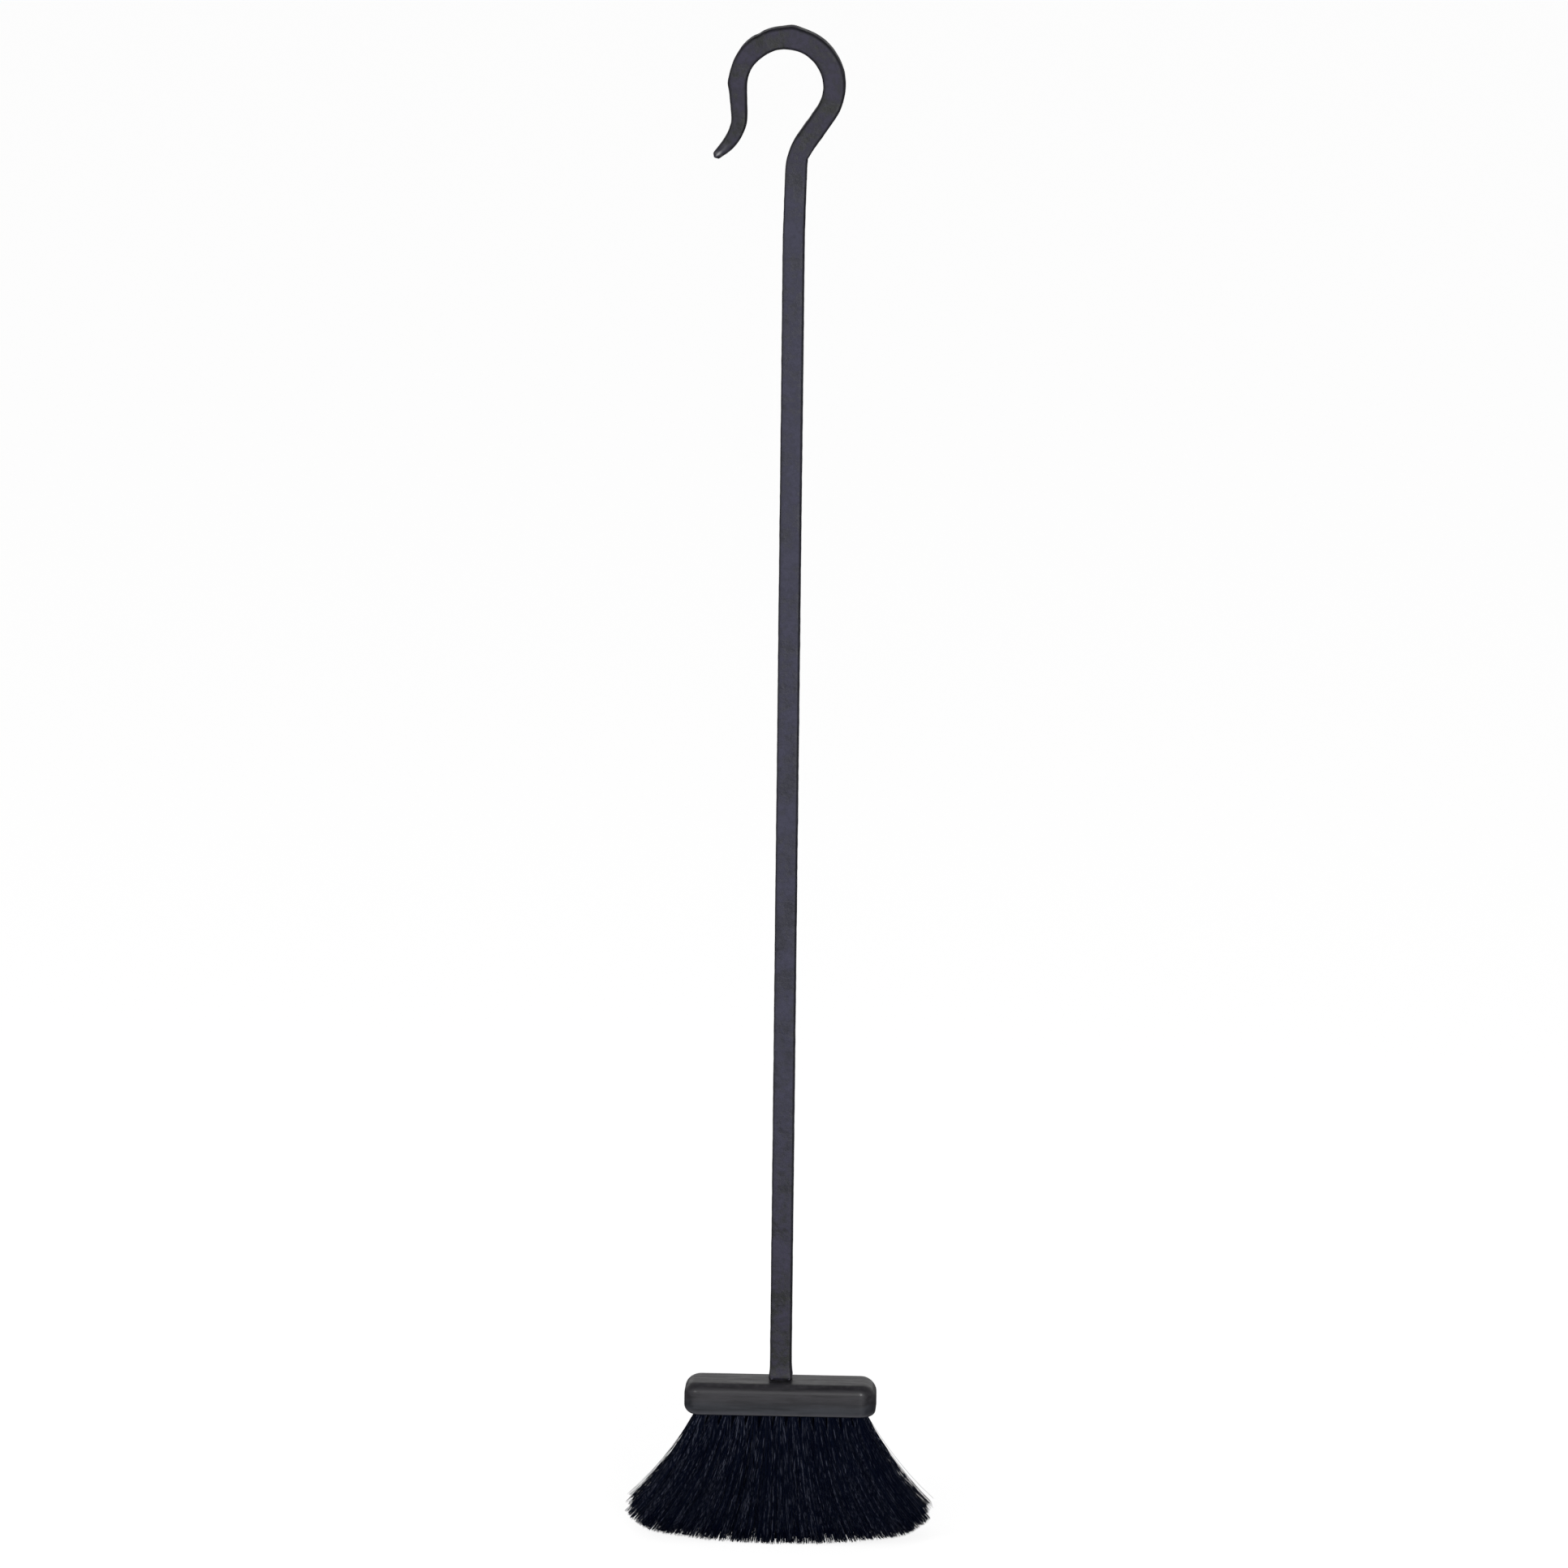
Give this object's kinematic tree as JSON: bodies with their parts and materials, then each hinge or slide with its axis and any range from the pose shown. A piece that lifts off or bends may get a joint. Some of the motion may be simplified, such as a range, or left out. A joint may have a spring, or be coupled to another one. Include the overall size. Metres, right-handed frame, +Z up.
{
  "type": "hearth brush",
  "caption": "Hearth brush: square black steel handle bent into a shepherd's crook, lacquered wood block and a flared fan of dark bristles, for sweeping ash.",
  "frame": {"origin": "under the handle's axis, at the level of the lowest bristle tips", "axes": "+Z up the handle, X along the block with the crook opening towards -X, -Y towards the front of the block"},
  "size_m": [0.1854, 0.058, 0.914],
  "materials": {
    "black_iron": "satin",
    "dark_steel": "satin",
    "black_lacquer": "satin",
    "bristle": "matte",
    "staple_wire": "satin"
  },
  "bodies": {
    "root": {"handle_bar": "black_iron", "threaded_insert": "dark_steel", "brush_block": "black_lacquer", "bristle_row_1": "bristle", "bristle_row_2": "bristle", "bristle_row_3": "bristle", "bristle_row_4": "bristle", "bristle_row_5": "bristle", "staple_row_1": "staple_wire", "staple_row_2": "staple_wire", "staple_row_3": "staple_wire", "staple_row_4": "staple_wire", "staple_row_5": "staple_wire"}
  },
  "joints": []
}
